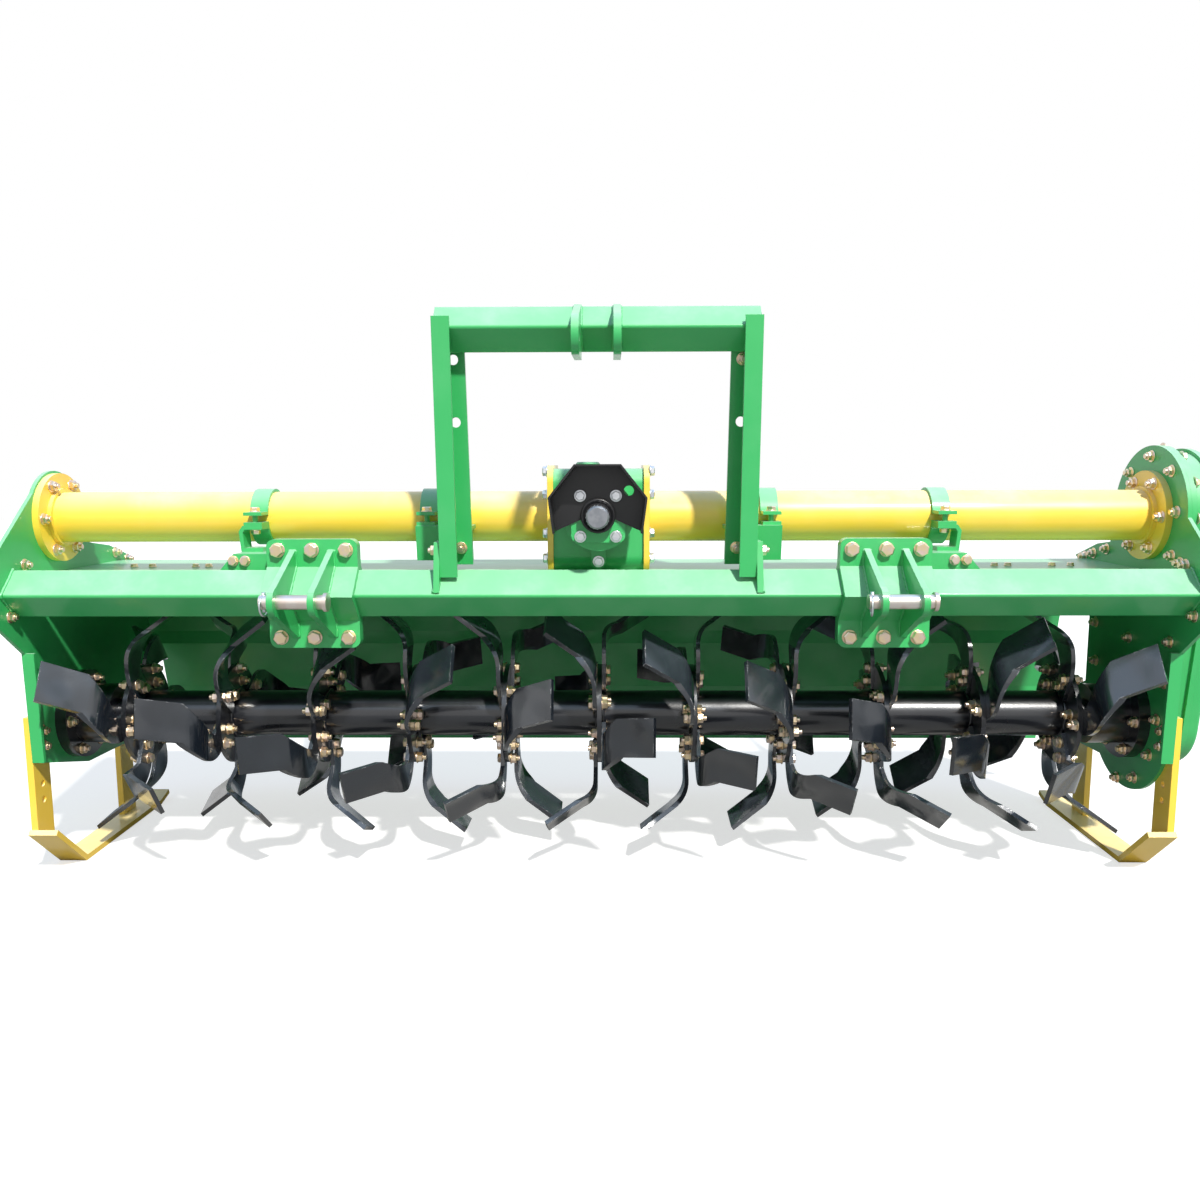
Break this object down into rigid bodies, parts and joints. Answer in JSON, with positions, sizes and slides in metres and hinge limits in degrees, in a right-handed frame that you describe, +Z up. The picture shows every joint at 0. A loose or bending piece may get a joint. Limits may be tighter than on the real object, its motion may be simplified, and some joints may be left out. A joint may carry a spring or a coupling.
{
  "type": "rotary tiller",
  "caption": "Wide tractor-mounted rotary tiller: bladed rotor under a hood, square cross beam, A-mast hitch, central gearbox with side gear drive, side skids and hinged tailboard.",
  "frame": {"origin": "on the floor under the middle of the whole machine, below the centre of its box", "axes": "+X across the machine towards the side gear case, +Y to the rear, away from the tractor, +Z up"},
  "size_m": [2.486, 0.9, 1.178],
  "materials": {
    "paint_green": "gloss",
    "paint_yellow": "gloss",
    "paint_black": "gloss",
    "steel": "satin"
  },
  "bodies": {
    "frame": {"main_beam": "paint_green", "end_plate_left": "paint_green", "end_plate_right": "paint_green", "side_gear_case": "paint_green", "centre_gearbox": "paint_green", "gearbox_cap": "paint_green", "input_bearing_flange": "paint_green", "input_guard": "paint_black", "hood": "paint_green", "hinge_rod": "paint_green", "guide_brackets": "paint_green", "mast_top_beam": "paint_green", "mast_lugs": "paint_green", "top_link_ears": "paint_green", "axle_tube_right": "paint_yellow", "axle_tube_left": "paint_yellow", "rotor_bearing_right": "paint_black", "rotor_bearing_left": "paint_black", "mast_leg_right": "paint_green", "mast_leg_left": "paint_green", "tube_clamp_inner_right": "paint_green", "tube_clamp_inner_left": "paint_green", "tube_clamp_outer_right": "paint_green", "tube_clamp_outer_left": "paint_green", "skid_right": "paint_yellow", "skid_left": "paint_yellow", "hitch_bracket_right": "paint_green", "hitch_backplate_right": "paint_green", "hitch_pin_right": "steel", "hitch_bracket_left": "paint_green", "hitch_backplate_left": "paint_green", "hitch_pin_left": "steel"},
    "rotor": {"rotor_shaft": "paint_black", "blades_right_hand": "paint_black", "blades_left_hand": "paint_black"},
    "drive_shaft": {"input_shaft": "steel"},
    "tailboard_flap": {"tailboard": "paint_green", "tail_rod_pins": "steel"},
    "guides": {"tail_guides": "paint_green"},
    "rods": {"tail_rods": "steel", "tail_springs": "steel"}
  },
  "joints": [
    {"name": "rotor_spin", "type": "hinge", "parent": "frame", "child": "rotor", "pos_m": [-0.037, -0.048, 0.32], "axis": [1, 0, 0], "continuous": true},
    {"name": "input_spin", "type": "hinge", "parent": "frame", "child": "drive_shaft", "pos_m": [-0.037, -0.24, 0.773], "axis": [0, -1, 0], "continuous": true},
    {"name": "tailboard_lift", "type": "hinge", "parent": "frame", "child": "tailboard_flap", "pos_m": [-0.037, 0.344, 0.446], "axis": [1, 0, 0], "range_deg": [0, 30]},
    {"name": "guide_swivel", "type": "hinge", "parent": "frame", "child": "guides", "pos_m": [-0.037, 0.382, 0.64], "axis": [1, 0, 0], "range_deg": [0, 12.6]},
    {"name": "rod_slide", "type": "slide", "parent": "guides", "child": "rods", "axis": [0, -0.1544, 0.988], "range_m": [0, 0.0442]}
  ],
  "couplings": [
    {"joint": "input_spin", "follows": "rotor_spin", "ratio": 2.6},
    {"joint": "guide_swivel", "follows": "tailboard_lift", "ratio": 0.4193},
    {"joint": "rod_slide", "follows": "tailboard_lift", "m_per_rad": 0.08422}
  ]
}
